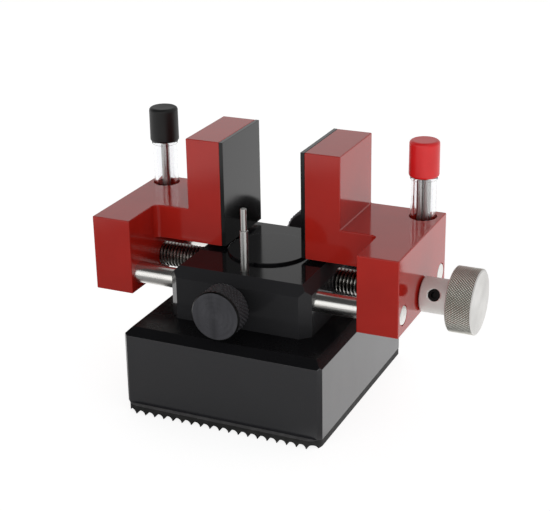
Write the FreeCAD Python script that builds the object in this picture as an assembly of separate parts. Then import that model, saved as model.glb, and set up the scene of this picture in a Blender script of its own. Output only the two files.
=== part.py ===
import FreeCAD, Part
import math
import os

os.makedirs("parts", exist_ok=True)

# Self-centring watch case holder, in millimetres.
# X runs along the lead screw towards the hand knob, +Y points to the rear, +Z points up.
# The origin is on the foot's underside, straight below the middle of the lead screw.

# Rubber foot
foot_thickness = 3.4
foot_inset = 0.5
foot_overhang = 1.9
foot_corner_radius = 5.0
groove_pitch = 4.0
groove_radius = 1.87
groove_centre_drop = 0.2

# Base block
base_width = 82.4
base_depth = 87.4
base_height = 31.8
base_forward = 3.3
base_chamfer = 3.0
base_corner_chamfer = 1.5

# Screws that hold the centre block down on the base block
base_screw_radius = 2.5
base_screw_hole_radius = 2.75
base_screw_head_radius = 4.25
base_screw_head_height = 5.0
base_counterbore_radius = 4.75
base_counterbore_depth = 6.0
base_screw_socket = 4.0
base_screw_socket_depth = 2.5
base_screw_reach = 7.3
base_screw_chamfer = 0.5
base_thread_depth = 8.0
base_screw_offset_x = 22.0
base_screw_offset_y = 12.0

# Centre block
block_length = 59.0
block_depth = 62.0
block_height = 20.8
block_chamfer = 3.8
block_corner_chamfer = 3.9
axis_above_base = 12.6

# Round cover on the centre block
disc_radius = 16.5
disc_seat_depth = 2.0
disc_proud = 1.0
disc_chamfer = 0.25

# Guide rods, in four short lengths held by grub screws from below
rod_radius = 4.0
rod_offset = 21.9
rod_grip = 20.0
rod_chamfer = 0.5
rod_clearance = 0.03
grub_radius = 2.0
grub_length = 6.0
grub_chamfer = 0.3
grub_socket = 2.0
grub_socket_depth = 2.0
grub_from_rod_end = 8.0

# Lead screw, with a left-hand thread on one side and a right-hand thread on the other
screw_radius = 4.95
screw_clearance = 0.05
thread_pitch = 1.5
thread_depth = 0.9
thread_crest = 0.2
thread_root = 0.3
thread_start = 25.0
screw_end_inset = 1.0
screw_end_chamfer = 0.9
screw_shank_radius = 3.5
screw_neck_radius = 3.5
screw_neck_x = 12.0

# Fork plate that drops into the neck and keeps the lead screw from sliding
fork_thickness = 4.0
fork_width = 16.0
fork_below_axis = 6.2
fork_side_clearance = 0.05
fork_neck_clearance = 0.1

# Jaws
pad_gap = 32.6
pad_thickness = 1.6
upright_thickness = 14.5
upright_height = 42.8
stem_length = 14.9
stem_height = 13.7
stem_depth = 33.7
stem_clearance = 0.4
crossbar_thickness = 16.4
crossbar_depth = 55.0
crossbar_below_axis = 7.3
jaw_corner_fillet = 2.5
jaw_edge_fillet = 0.4
jaw_inner_fillet = 0.5

# Hand knob
hub_gap = 0.5
hub_radius = 6.85
hub_length = 11.9
hub_chamfer = 0.7
hub_bore_depth = 15.0
knob_radius = 12.7
knob_width = 10.2
knob_chamfer = 0.8
hub_screw_radius = 2.4
hub_screw_socket = 2.5
hub_screw_socket_depth = 1.6
hub_screw_chamfer = 0.3
hub_screw_recess = 0.6
hub_screw_from_jaw = 6.4
hub_screw_angle = 24.5

# Clamp screws in the front and rear faces of the centre block
clamp_knob_width = 9.8
clamp_knob_chamfer = 0.8
clamp_neck_radius = 5.0
clamp_standoff = 2.0
clamp_stud_radius = 3.0
clamp_stud_clearance = 0.05
clamp_stud_bore_depth = 8.0
clamp_tip_gap = 0.1
clamp_tip_chamfer = 0.5
front_knob_radius = 9.8
front_neck_length = 6.4
rear_knob_radius = 10.8
rear_neck_length = 7.0

# Support pin
pin_radius = 1.6
pin_tip_radius = 1.2
pin_foot_length = 36.4
pin_tip_length = 8.8
pin_chamfer = 0.2
pin_hole_depth = 20.0
pin_clearance = 0.05
pin_from_front = 8.2

# Vials for spare pins
vial_hole_radius = 5.5
vial_from_outside = 7.3
vial_from_rear = 7.0
left_vial_hole_depth = 16.4
right_vial_hole_depth = 18.0
vial_radius = 5.0
vial_bore_radius = 3.6
vial_floor = 1.2
vial_length = 33.4
vial_foot_chamfer = 0.8
vial_flange_radius = 5.6
vial_flange_height = 1.2
vial_neck_radius = 4.4
vial_neck_height = 8.0
cap_radius = 5.95
cap_length = 14.3
cap_clearance = 0.1
cap_bore_depth = 9.5
cap_top_chamfer = 1.0
cap_foot_chamfer = 0.4
spare_pin_radius = 1.75
spare_pin_tip_radius = 1.1
spare_pin_foot_length = 34.0
spare_pin_tip_length = 3.0
slim_pin_radius = 1.4
slim_pin_length = 37.0
slim_pin_gap = 0.1
spare_pin_chamfer = 0.2

# Heights
base_top = foot_thickness + base_height
block_top = base_top + block_height
axis_z = base_top + axis_above_base
disc_seat = block_top - disc_seat_depth
disc_top = block_top + disc_proud
stem_bottom = disc_top + stem_clearance
jaw_top = stem_bottom + stem_height
upright_top = stem_bottom + upright_height
crossbar_bottom = axis_z - crossbar_below_axis

# Places along X, on the right-hand side
block_side = block_length / 2
pad_face = pad_gap / 2
upright_face = pad_face + pad_thickness
upright_back = upright_face + upright_thickness
crossbar_face = upright_back + stem_length
jaw_back = crossbar_face + crossbar_thickness
hub_start = jaw_back + hub_gap
vial_x = jaw_back - vial_from_outside
grub_x = block_side - rod_grip + grub_from_rod_end

# Places along Y
base_middle = -base_forward
block_front = -block_depth / 2
block_rear = block_depth / 2
jaw_rear = crossbar_depth / 2
stem_front = jaw_rear - stem_depth
pin_y = block_front + pin_from_front
vial_y = jaw_rear - vial_from_rear

UP = FreeCAD.Vector(0, 0, 1)
RIGHT = FreeCAD.Vector(1, 0, 0)
TO_REAR = FreeCAD.Vector(0, 1, 0)
TO_FRONT = FreeCAD.Vector(0, -1, 0)
ORIGIN = FreeCAD.Vector(0, 0, 0)
FULL_TURN = 360
SAME_PLACE = 1e-6
PROBE_STEP = 0.05


def box(low, high):
    """A box from its lowest to its highest corner."""
    size = [high[i] - low[i] for i in range(3)]
    return Part.makeBox(*size, FreeCAD.Vector(*low))


def rod(radius, start, direction, length):
    """A plain cylinder from a start point along a direction."""
    return Part.makeCylinder(radius, length, FreeCAD.Vector(*start), direction)


def turned(profile):
    """A turned piece about Z from its (radius, height) outline."""
    points = [FreeCAD.Vector(radius, 0, height) for radius, height in profile]
    face = Part.Face(Part.makePolygon(points + points[:1]))
    return face.revolve(ORIGIN, UP, FULL_TURN)


def placed(shape, position, direction):
    """The same shape with its origin moved and its Z axis turned to a direction."""
    copy = shape.copy()
    turn = FreeCAD.Rotation(UP, direction)
    copy.Placement = FreeCAD.Placement(FreeCAD.Vector(*position), turn)
    return copy


def bar(radius, length, chamfer):
    """A round bar along Z with both ends chamfered."""
    return turned([
        (0, 0), (radius - chamfer, 0), (radius, chamfer),
        (radius, length - chamfer), (radius - chamfer, length), (0, length),
    ])


def hexagon(across_flats, depth):
    """A hexagonal prism along Z, for a socket."""
    corner_radius = across_flats / 2 / math.cos(math.pi / 6)
    corners = []
    for i in range(6):
        angle = i * math.pi / 3
        corners.append(FreeCAD.Vector(
            corner_radius * math.cos(angle), corner_radius * math.sin(angle), 0))
    return Part.Face(Part.makePolygon(corners + corners[:1])).extrude(UP * depth)


def grub_screw(radius, length, chamfer, across_flats, socket_depth):
    """A headless screw along Z with its socket at the start."""
    return bar(radius, length, chamfer).cut(hexagon(across_flats, socket_depth))


def upright_edge_at(shape, x, y):
    """The edges of a shape that stand at a place in plan."""
    found = []
    for edge in shape.Edges:
        distances = [math.hypot(end.X - x, end.Y - y) for end in edge.Vertexes]
        if max(distances) < SAME_PLACE:
            found.append(edge)
    return found


def is_ridge(shape, edge):
    """True for a straight edge where two faces meet outwards, not in a hollow or smoothly."""
    faces = [face for face in shape.Faces if any(edge.isSame(other) for other in face.Edges)]
    middle = edge.valueAt((edge.FirstParameter + edge.LastParameter) / 2)
    first, second = [face.normalAt(*face.Surface.parameter(middle)) for face in faces]
    turns = first.cross(second).Length > SAME_PLACE
    beside = middle + (first - second) * PROBE_STEP
    return turns and not shape.isInside(beside, SAME_PLACE, False)


def ridges(shape):
    """Every straight outward edge of a shape."""
    straight = [edge for edge in shape.Edges if edge.Curve.TypeId == "Part::GeomLine"]
    return [edge for edge in straight if is_ridge(shape, edge)]


def is_seen_at(edge, y, z):
    """True for an edge along X at a place in the end view."""
    distances = [math.hypot(end.Y - y, end.Z - z) for end in edge.Vertexes]
    return max(distances) < SAME_PLACE


def cross_edge_at(shape, x, z):
    """The edges of a shape that run along Y at a place in the front view."""
    found = []
    for edge in shape.Edges:
        distances = [math.hypot(end.X - x, end.Z - z) for end in edge.Vertexes]
        if max(distances) < SAME_PLACE:
            found.append(edge)
    return found


def prism(points, way):
    """A flat outline pushed along a vector."""
    corners = [FreeCAD.Vector(*point) for point in points]
    return Part.Face(Part.makePolygon(corners + corners[:1])).extrude(way)


def chamfered_block(half_x, half_y, low, high, rim, corner):
    """A block about the Z axis with its top rim and its four upright corners chamfered."""
    plan = prism([
        (-half_x + corner, -half_y, low), (half_x - corner, -half_y, low),
        (half_x, -half_y + corner, low), (half_x, half_y - corner, low),
        (half_x - corner, half_y, low), (-half_x + corner, half_y, low),
        (-half_x, half_y - corner, low), (-half_x, -half_y + corner, low),
    ], UP * (high - low))
    front_view = prism([
        (-half_x, -half_y, low), (half_x, -half_y, low), (half_x, -half_y, high - rim),
        (half_x - rim, -half_y, high), (-half_x + rim, -half_y, high), (-half_x, -half_y, high - rim),
    ], TO_REAR * 2 * half_y)
    side_view = prism([
        (-half_x, -half_y, low), (-half_x, half_y, low), (-half_x, half_y, high - rim),
        (-half_x, half_y - rim, high), (-half_x, -half_y + rim, high), (-half_x, -half_y, high - rim),
    ], RIGHT * 2 * half_x)
    return plan.common(front_view).common(side_view)


def mirrored(shape):
    """The shape on the other side of the holder."""
    return shape.mirror(ORIGIN, RIGHT)


def on_side(shape, side):
    """The right-hand shape as it is, or mirrored for the left side."""
    return shape if side > 0 else mirrored(shape)


def four_places(offset_x, offset_y):
    """The four (x, y) places that mirror one another."""
    return [(sx * offset_x, sy * offset_y) for sx in (-1, 1) for sy in (-1, 1)]


def save(name, shape):
    """Write one piece, or one group of alike pieces, to its file."""
    shape.exportStep("parts/" + name + ".step")


def rubber_foot():
    """The mat under the base, with rounded front corners and grooves from front to rear."""
    half = base_width / 2 - foot_inset
    front = base_middle - base_depth / 2 - foot_overhang
    rear = base_middle + base_depth / 2 - foot_inset
    mat = box((-half, front, 0), (half, rear, foot_thickness))
    corners = upright_edge_at(mat, -half, front) + upright_edge_at(mat, half, front)
    mat = mat.makeFillet(foot_corner_radius, corners)
    count = int(2 * half / groove_pitch)
    for i in range(count):
        groove_x = (i - (count - 1) / 2) * groove_pitch
        start = (groove_x, front, -groove_centre_drop)
        mat = mat.cut(rod(groove_radius, start, TO_REAR, rear - front))
    return mat


def base_block():
    """The heavy block under everything, with counterbored screw holes."""
    shape = chamfered_block(
        base_width / 2, base_depth / 2, foot_thickness, base_top, base_chamfer, base_corner_chamfer)
    shape.translate(TO_REAR * base_middle)
    for x, y in four_places(base_screw_offset_x, base_screw_offset_y):
        shape = shape.cut(rod(base_counterbore_radius, (x, y, foot_thickness), UP, base_counterbore_depth))
        shape = shape.cut(rod(base_screw_hole_radius, (x, y, foot_thickness), UP, base_height))
    return shape


def base_screws():
    """Four socket head screws that come up from under the base."""
    head_seat = foot_thickness + base_counterbore_depth
    shank_length = base_top - head_seat + base_screw_reach
    head = turned([
        (0, -base_screw_head_height), (base_screw_head_radius, -base_screw_head_height),
        (base_screw_head_radius, 0), (base_screw_radius, 0),
        (base_screw_radius, shank_length - base_screw_chamfer),
        (base_screw_radius - base_screw_chamfer, shank_length), (0, shank_length),
    ])
    socket = placed(hexagon(base_screw_socket, base_screw_socket_depth), (0, 0, -base_screw_head_height), UP)
    screw = head.cut(socket)
    places = four_places(base_screw_offset_x, base_screw_offset_y)
    return Part.makeCompound([placed(screw, (x, y, head_seat), UP) for x, y in places])


def centre_block():
    """The chamfered block that carries the rods, the lead screw and the clamp screws."""
    shape = chamfered_block(
        block_side, block_rear, base_top, block_top, block_chamfer, block_corner_chamfer)
    for x, y in four_places(grub_x, rod_offset):
        shape = shape.cut(rod(grub_radius, (x, y, base_top), UP, axis_above_base))
    for x, y in four_places(base_screw_offset_x, base_screw_offset_y):
        shape = shape.cut(rod(base_screw_radius, (x, y, base_top), UP, base_thread_depth))
    for side in (-1, 1):
        for y in (-rod_offset, rod_offset):
            start = (side * block_side, y, axis_z)
            shape = shape.cut(rod(rod_radius, start, RIGHT * -side, rod_grip))
    shape = shape.cut(rod(screw_radius + screw_clearance, (-block_side, 0, axis_z), RIGHT, block_length))
    shape = shape.cut(rod(disc_radius, (0, 0, disc_seat), UP, block_height))
    shape = shape.cut(fork_blank(disc_seat))
    hole_start = (0, pin_y, block_top - pin_hole_depth)
    shape = shape.cut(rod(pin_radius + pin_clearance, hole_start, UP, pin_hole_depth))
    stud_hole = clamp_stud_radius + clamp_stud_clearance
    shape = shape.cut(rod(stud_hole, (0, block_front, axis_z), TO_REAR, pin_y - block_front))
    shape = shape.cut(rod(stud_hole, (0, block_rear, axis_z), TO_FRONT, block_rear))
    return shape


def centre_disc():
    """The round cover that stands a little proud of the centre block."""
    height = disc_top - disc_seat
    profile = [
        (0, 0), (disc_radius, 0), (disc_radius, height - disc_chamfer),
        (disc_radius - disc_chamfer, height), (0, height),
    ]
    return placed(turned(profile), (0, 0, disc_seat), UP)


def fork_blank(top):
    """The outer shape of the fork plate, which is also its slot in the block."""
    half_thickness = fork_thickness / 2
    half_width = fork_width / 2
    return box(
        (screw_neck_x - half_thickness, -half_width, axis_z - fork_below_axis),
        (screw_neck_x + half_thickness, half_width, top))


def screw_fork():
    """The plate whose two legs straddle the lead screw's neck."""
    inner = screw_neck_radius + fork_neck_clearance
    start_x = screw_neck_x - fork_thickness / 2
    slot = box(
        (start_x, -inner, axis_z - fork_below_axis),
        (start_x + fork_thickness, inner, axis_z))
    round_end = rod(inner, (start_x, 0, axis_z), RIGHT, fork_thickness)
    return fork_blank(disc_seat).cut(slot).cut(round_end)


def guide_rod(side, y):
    """One guide rod, from inside the block to the jaw's outer face."""
    length = jaw_back - block_side + rod_grip
    start = (side * (block_side - rod_grip), y, axis_z)
    return placed(bar(rod_radius, length, rod_chamfer), start, RIGHT * side)


def rod_grub_screws():
    """Four grub screws that press up on the rods."""
    screw = grub_screw(grub_radius, grub_length, grub_chamfer, grub_socket, grub_socket_depth)
    start_z = axis_z - rod_radius - grub_length
    places = four_places(grub_x, rod_offset)
    return Part.makeCompound([placed(screw, (x, y, start_z), UP) for x, y in places])


def thread_grooves(start, end):
    """The outline of as many whole thread grooves as fit between two places on the screw."""
    flank = (thread_pitch - thread_crest - thread_root) / 2
    root_radius = screw_radius - thread_depth
    outline = []
    for i in range(int((end - start) / thread_pitch)):
        crest_end = start + i * thread_pitch + thread_crest
        outline += [
            (screw_radius, crest_end), (root_radius, crest_end + flank),
            (root_radius, crest_end + flank + thread_root),
            (screw_radius, crest_end + 2 * flank + thread_root),
        ]
    return outline


def lead_screw():
    """The double-handed screw, with its neck and the shank that carries the hand knob.

    Each thread is drawn as parallel grooves in place of its helix.
    """
    left_end = -(jaw_back - screw_end_inset)
    right_end = hub_start
    neck_half = fork_thickness / 2 + fork_side_clearance
    neck_start = screw_neck_x - neck_half
    neck_end = screw_neck_x + neck_half
    shank_end = hub_start + hub_bore_depth
    end_radius = screw_radius - screw_end_chamfer
    profile = [(0, left_end), (end_radius, left_end), (screw_radius, left_end + screw_end_chamfer)]
    profile += thread_grooves(left_end + screw_end_chamfer, -thread_start)
    profile += [
        (screw_radius, neck_start), (screw_neck_radius, neck_start),
        (screw_neck_radius, neck_end), (screw_radius, neck_end),
    ]
    profile += thread_grooves(thread_start, right_end - screw_end_chamfer)
    profile += [
        (screw_radius, right_end - screw_end_chamfer), (end_radius, right_end),
        (screw_shank_radius, right_end), (screw_shank_radius, shank_end), (0, shank_end),
    ]
    return placed(turned(profile), (0, 0, axis_z), RIGHT)


def hub_screw_direction():
    """The way out of the hub along its grub screw."""
    angle = math.radians(hub_screw_angle)
    return FreeCAD.Vector(0, -math.cos(angle), math.sin(angle))


def hub_screw_position(distance):
    """A point on the hub's grub screw at a distance from the screw's axis."""
    out = hub_screw_direction() * distance
    return (jaw_back + hub_screw_from_jaw, out.y, axis_z + out.z)


def hand_knob():
    """The hub and the knurled rim, turned in one piece."""
    length = hub_length + knob_width
    profile = [
        (0, hub_bore_depth), (screw_shank_radius, hub_bore_depth), (screw_shank_radius, 0),
        (hub_radius - hub_chamfer, 0), (hub_radius, hub_chamfer), (hub_radius, hub_length),
        (knob_radius - knob_chamfer, hub_length), (knob_radius, hub_length + knob_chamfer),
        (knob_radius, length - knob_chamfer), (knob_radius - knob_chamfer, length), (0, length),
    ]
    shape = placed(turned(profile), (hub_start, 0, axis_z), RIGHT)
    hole = rod(hub_screw_radius, hub_screw_position(0), hub_screw_direction(), hub_radius)
    return shape.cut(hole)


def hub_screw():
    """The grub screw that holds the hand knob on the lead screw's shank."""
    length = hub_radius - hub_screw_recess - screw_shank_radius
    screw = grub_screw(
        hub_screw_radius, length, hub_screw_chamfer, hub_screw_socket, hub_screw_socket_depth)
    outer = hub_radius - hub_screw_recess
    return placed(screw, hub_screw_position(outer), hub_screw_direction() * -1)


def jaw(side, vial_hole_depth):
    """One jaw: a crossbar on the rods, a stem over the block and an upright."""
    crossbar = box((crossbar_face, -jaw_rear, crossbar_bottom), (jaw_back, jaw_rear, jaw_top))
    stem = box((upright_face, stem_front, stem_bottom), (crossbar_face, jaw_rear, jaw_top))
    upright = box((upright_face, stem_front, stem_bottom), (upright_back, jaw_rear, upright_top))
    shape = on_side(crossbar.fuse([stem, upright]).removeSplitter(), side)
    shape = shape.makeFillet(jaw_corner_fillet, upright_edge_at(shape, side * crossbar_face, stem_front))
    shape = shape.makeFillet(jaw_inner_fillet, cross_edge_at(shape, side * upright_back, jaw_top))
    # The stem's lower front edge stays sharp, because the corner fillet runs out there.
    rounded = [edge for edge in ridges(shape) if not is_seen_at(edge, stem_front, stem_bottom)]
    shape = shape.makeFillet(jaw_edge_fillet, rounded)
    outwards = RIGHT * side
    for y in (-rod_offset, rod_offset):
        start = (side * crossbar_face, y, axis_z)
        shape = shape.cut(rod(rod_radius + rod_clearance, start, outwards, crossbar_thickness))
    start = (side * crossbar_face, 0, axis_z)
    shape = shape.cut(rod(screw_radius + screw_clearance, start, outwards, crossbar_thickness))
    hole_start = (side * vial_x, vial_y, jaw_top - vial_hole_depth)
    return shape.cut(rod(vial_hole_radius, hole_start, UP, vial_hole_depth))


def jaw_pad(side):
    """The thin black plate on the gripping face of a jaw."""
    shape = box((pad_face, stem_front, stem_bottom), (upright_face, jaw_rear, upright_top))
    return on_side(shape, side)


def clamp_knob(radius, neck_length):
    """A knurled clamp knob along Z: the neck first, the flat face last."""
    length = neck_length + clamp_knob_width
    return turned([
        (0, clamp_stud_bore_depth), (clamp_stud_radius, clamp_stud_bore_depth),
        (clamp_stud_radius, 0), (clamp_neck_radius, 0), (clamp_neck_radius, neck_length),
        (radius - clamp_knob_chamfer, neck_length), (radius, neck_length + clamp_knob_chamfer),
        (radius, length - clamp_knob_chamfer), (radius - clamp_knob_chamfer, length), (0, length),
    ])


def front_clamp_knob():
    """The knob that tightens on the support pin."""
    start = (0, block_front - clamp_standoff, axis_z)
    return placed(clamp_knob(front_knob_radius, front_neck_length), start, TO_FRONT)


def rear_clamp_knob():
    """The knob that locks the lead screw."""
    start = (0, block_rear + clamp_standoff, axis_z)
    return placed(clamp_knob(rear_knob_radius, rear_neck_length), start, TO_REAR)


def front_clamp_stud():
    """The stud from inside the front knob to just short of the support pin."""
    tip_y = pin_y - pin_radius - clamp_tip_gap
    end_y = block_front - clamp_standoff - clamp_stud_bore_depth
    stud = bar(clamp_stud_radius, tip_y - end_y, clamp_tip_chamfer)
    return placed(stud, (0, tip_y, axis_z), TO_FRONT)


def rear_clamp_stud():
    """The stud from inside the rear knob to just short of the lead screw."""
    tip_y = screw_radius + clamp_tip_gap
    end_y = block_rear + clamp_standoff + clamp_stud_bore_depth
    stud = bar(clamp_stud_radius, end_y - tip_y, clamp_tip_chamfer)
    return placed(stud, (0, tip_y, axis_z), TO_REAR)


def stepped_pin(radius, tip_radius, foot_length, tip_length, chamfer):
    """A round pin along Z with a slimmer tip."""
    length = foot_length + tip_length
    return turned([
        (0, 0), (radius - chamfer, 0), (radius, chamfer),
        (radius, foot_length - chamfer), (radius - chamfer, foot_length),
        (tip_radius, foot_length), (tip_radius, length - chamfer),
        (tip_radius - chamfer, length), (0, length),
    ])


def support_pin():
    """The pin that stands in the block's front hole."""
    pin = stepped_pin(pin_radius, pin_tip_radius, pin_foot_length, pin_tip_length, pin_chamfer)
    return placed(pin, (0, pin_y, block_top - pin_hole_depth), UP)


def vial_bottom(hole_depth):
    """The height that a vial stands at in its jaw."""
    return jaw_top - hole_depth


def vial_tube(side, hole_depth):
    """A clear tube with a flange and a neck for its cap."""
    flange_top = vial_length + vial_flange_height
    top = flange_top + vial_neck_height
    profile = [
        (0, 0), (vial_radius - vial_foot_chamfer, 0), (vial_radius, vial_foot_chamfer),
        (vial_radius, vial_length), (vial_flange_radius, vial_length),
        (vial_flange_radius, flange_top), (vial_neck_radius, flange_top),
        (vial_neck_radius, top), (vial_bore_radius, top), (vial_bore_radius, vial_floor),
        (0, vial_floor),
    ]
    return placed(turned(profile), (side * vial_x, vial_y, vial_bottom(hole_depth)), UP)


def vial_cap(side, hole_depth):
    """A push-on cap that stands on the tube's flange."""
    bore = vial_neck_radius + cap_clearance
    profile = [
        (0, cap_bore_depth), (bore, cap_bore_depth), (bore, 0),
        (cap_radius - cap_foot_chamfer, 0), (cap_radius, cap_foot_chamfer),
        (cap_radius, cap_length - cap_top_chamfer),
        (cap_radius - cap_top_chamfer, cap_length), (0, cap_length),
    ]
    start_z = vial_bottom(hole_depth) + vial_length + vial_flange_height
    return placed(turned(profile), (side * vial_x, vial_y, start_z), UP)


def left_spare_pin():
    """The one stepped pin kept in the left vial."""
    pin = stepped_pin(
        spare_pin_radius, spare_pin_tip_radius,
        spare_pin_foot_length, spare_pin_tip_length, spare_pin_chamfer)
    start_z = vial_bottom(left_vial_hole_depth) + vial_floor
    return placed(pin, (-vial_x, vial_y, start_z), UP)


def right_spare_pins():
    """The two slim pins kept side by side in the right vial."""
    pin = bar(slim_pin_radius, slim_pin_length, spare_pin_chamfer)
    start_z = vial_bottom(right_vial_hole_depth) + vial_floor
    offset = slim_pin_radius + slim_pin_gap / 2
    places = [vial_x - offset, vial_x + offset]
    return Part.makeCompound([placed(pin, (x, vial_y, start_z), UP) for x in places])


SIDES = {"left": -1, "right": 1}
VIAL_HOLE_DEPTHS = {"left": left_vial_hole_depth, "right": right_vial_hole_depth}
ROD_PLACES = {"front": -rod_offset, "rear": rod_offset}

save("rubber_foot", rubber_foot())
save("base_block", base_block())
save("base_screws", base_screws())
save("centre_block", centre_block())
save("centre_disc", centre_disc())
save("screw_fork", screw_fork())
save("rod_grub_screws", rod_grub_screws())
save("lead_screw", lead_screw())
save("hand_knob", hand_knob())
save("hub_screw", hub_screw())
save("front_clamp_knob", front_clamp_knob())
save("front_clamp_stud", front_clamp_stud())
save("rear_clamp_knob", rear_clamp_knob())
save("rear_clamp_stud", rear_clamp_stud())
save("support_pin", support_pin())
save("left_spare_pin", left_spare_pin())
save("right_spare_pins", right_spare_pins())
for side_name, side in SIDES.items():
    depth = VIAL_HOLE_DEPTHS[side_name]
    save(side_name + "_jaw", jaw(side, depth))
    save(side_name + "_pad", jaw_pad(side))
    save(side_name + "_vial_tube", vial_tube(side, depth))
    save(side_name + "_vial_cap", vial_cap(side, depth))
    for row_name, row_y in ROD_PLACES.items():
        save(row_name + "_" + side_name + "_guide_rod", guide_rod(side, row_y))
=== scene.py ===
import bmesh
import bpy
import math
from mathutils import Matrix, Vector


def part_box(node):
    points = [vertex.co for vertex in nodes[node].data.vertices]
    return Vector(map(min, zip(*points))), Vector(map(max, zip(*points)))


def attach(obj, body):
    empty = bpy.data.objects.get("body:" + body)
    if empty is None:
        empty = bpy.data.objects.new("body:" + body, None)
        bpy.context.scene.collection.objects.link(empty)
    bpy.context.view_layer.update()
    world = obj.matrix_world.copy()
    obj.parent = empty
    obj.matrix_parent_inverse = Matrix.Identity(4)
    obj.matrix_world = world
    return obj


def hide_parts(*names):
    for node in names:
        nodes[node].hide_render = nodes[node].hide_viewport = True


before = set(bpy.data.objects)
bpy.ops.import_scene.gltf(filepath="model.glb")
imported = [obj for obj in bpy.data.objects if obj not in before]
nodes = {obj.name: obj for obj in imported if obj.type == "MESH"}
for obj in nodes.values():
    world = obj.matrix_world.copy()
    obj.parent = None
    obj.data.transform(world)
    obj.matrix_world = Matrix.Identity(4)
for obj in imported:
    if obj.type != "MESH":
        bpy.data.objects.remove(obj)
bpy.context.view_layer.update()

# Lengths are in millimetres and are turned into metres where a mesh or a place is made.
MM = 0.001
TAU = 2 * math.pi

# Directions of the turned pieces
X_AXIS = Vector((1, 0, 0))
Y_AXIS = Vector((0, 1, 0))
Z_AXIS = Vector((0, 0, 1))


# Places read from the frame

def low(node):
    """The lowest corner of a CAD node in millimetres."""
    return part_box(node)[0] / MM


def high(node):
    """The highest corner of a CAD node in millimetres."""
    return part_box(node)[1] / MM


def middle(node):
    """The middle of a CAD node's box in millimetres."""
    return (low(node) + high(node)) / 2


def size(node):
    """The size of a CAD node's box in millimetres."""
    return high(node) - low(node)


def foot(node):
    """The middle of the underside of a CAD node's box in millimetres."""
    place = middle(node)
    place.z = low(node).z
    return place


axis_z = middle("lead_screw").z
axis_place = Vector((0, 0, axis_z))
jaw_back = high("right_jaw").x
hub_start = low("hand_knob").x


# Shader nodes

WHITE = (1.0, 1.0, 1.0, 1.0)


def new_material(name):
    """A material with its node tree, its main shader and its object coordinates."""
    material = bpy.data.materials.new(name)
    material.use_nodes = True
    tree = material.node_tree
    shader = tree.nodes["Principled BSDF"]
    place = tree.nodes.new("ShaderNodeTexCoord")
    return material, tree, shader, place.outputs["Object"]


def set_shader(shader, **values):
    """Set constants on the shader's own sockets, with _ for each space in a socket's name."""
    for name, value in values.items():
        shader.inputs[name.replace("_", " ")].default_value = value


def feed(tree, value, socket):
    """Give a socket its value, which is another node's output or a constant."""
    if isinstance(value, bpy.types.NodeSocket):
        tree.links.new(value, socket)
    else:
        socket.default_value = value


def mapped(tree, vector, scale=(1, 1, 1), offset=(0, 0, 0)):
    """Coordinates moved by an offset in metres and then scaled."""
    for operation, constant in (("ADD", offset), ("MULTIPLY", scale)):
        node = tree.nodes.new("ShaderNodeVectorMath")
        node.operation = operation
        node.inputs[1].default_value = constant
        tree.links.new(vector, node.inputs[0])
        vector = node.outputs[0]
    return vector


def noise(tree, vector, scale, detail, roughness=0.5):
    """The value of a noise, from 0 to 1. scale is in features per metre."""
    node = tree.nodes.new("ShaderNodeTexNoise")
    node.inputs["Scale"].default_value = scale
    node.inputs["Detail"].default_value = detail
    node.inputs["Roughness"].default_value = roughness
    tree.links.new(vector, node.inputs["Vector"])
    return node.outputs["Fac"]


def spread(tree, value, start, end, low_value=0.0, high_value=1.0, interpolation="LINEAR"):
    """A value that runs from one range to another and stops at its ends."""
    node = tree.nodes.new("ShaderNodeMapRange")
    node.interpolation_type = interpolation
    node.inputs["From Min"].default_value = start
    node.inputs["From Max"].default_value = end
    node.inputs["To Min"].default_value = low_value
    node.inputs["To Max"].default_value = high_value
    tree.links.new(value, node.inputs["Value"])
    return node.outputs["Result"]


def smooth_step(tree, value, ends):
    """A soft step from 0 to 1 between two values."""
    return spread(tree, value, *ends, interpolation="SMOOTHSTEP")


def mixed(tree, data_type, socket_type, amount, first, second):
    """A mix of two values by an amount from 0 to 1."""
    node = tree.nodes.new("ShaderNodeMix")
    node.data_type = data_type
    tree.links.new(amount, node.inputs["Factor"])
    for name, value in (("A", first), ("B", second)):
        sockets = [item for item in node.inputs if item.name == name and item.type == socket_type]
        feed(tree, value, sockets[0])
    return [item for item in node.outputs if item.type == socket_type][0]


def opaque(colour):
    """A colour with its fourth channel. A node's output stays as it is."""
    return colour if isinstance(colour, bpy.types.NodeSocket) else (*colour, 1.0)


def blended(tree, amount, first, second):
    """A colour between two others by an amount from 0 to 1."""
    return mixed(tree, "RGBA", "RGBA", amount, opaque(first), opaque(second))


def chosen(tree, choice, if_zero, if_one):
    """One of two numbers by a choice of 0 or 1."""
    return mixed(tree, "FLOAT", "VALUE", choice, if_zero, if_one)


def calculated(tree, operation, first, second):
    """A number worked out from the outputs of two other nodes."""
    node = tree.nodes.new("ShaderNodeMath")
    node.operation = operation
    tree.links.new(first, node.inputs[0])
    tree.links.new(second, node.inputs[1])
    return node.outputs[0]


def vector_value(tree, operation, first, second):
    """A number from two vectors, such as their distance or dot product."""
    node = tree.nodes.new("ShaderNodeVectorMath")
    node.operation = operation
    tree.links.new(first, node.inputs[0])
    feed(tree, second, node.inputs[1])
    return node.outputs["Value"]


def bumped(tree, shader, height, strength, distance):
    """Bump on the shader from a height. distance is in metres."""
    node = tree.nodes.new("ShaderNodeBump")
    node.inputs["Strength"].default_value = strength
    node.inputs["Distance"].default_value = distance
    tree.links.new(height, node.inputs["Height"])
    tree.links.new(node.outputs["Normal"], shader.inputs["Normal"])


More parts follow.
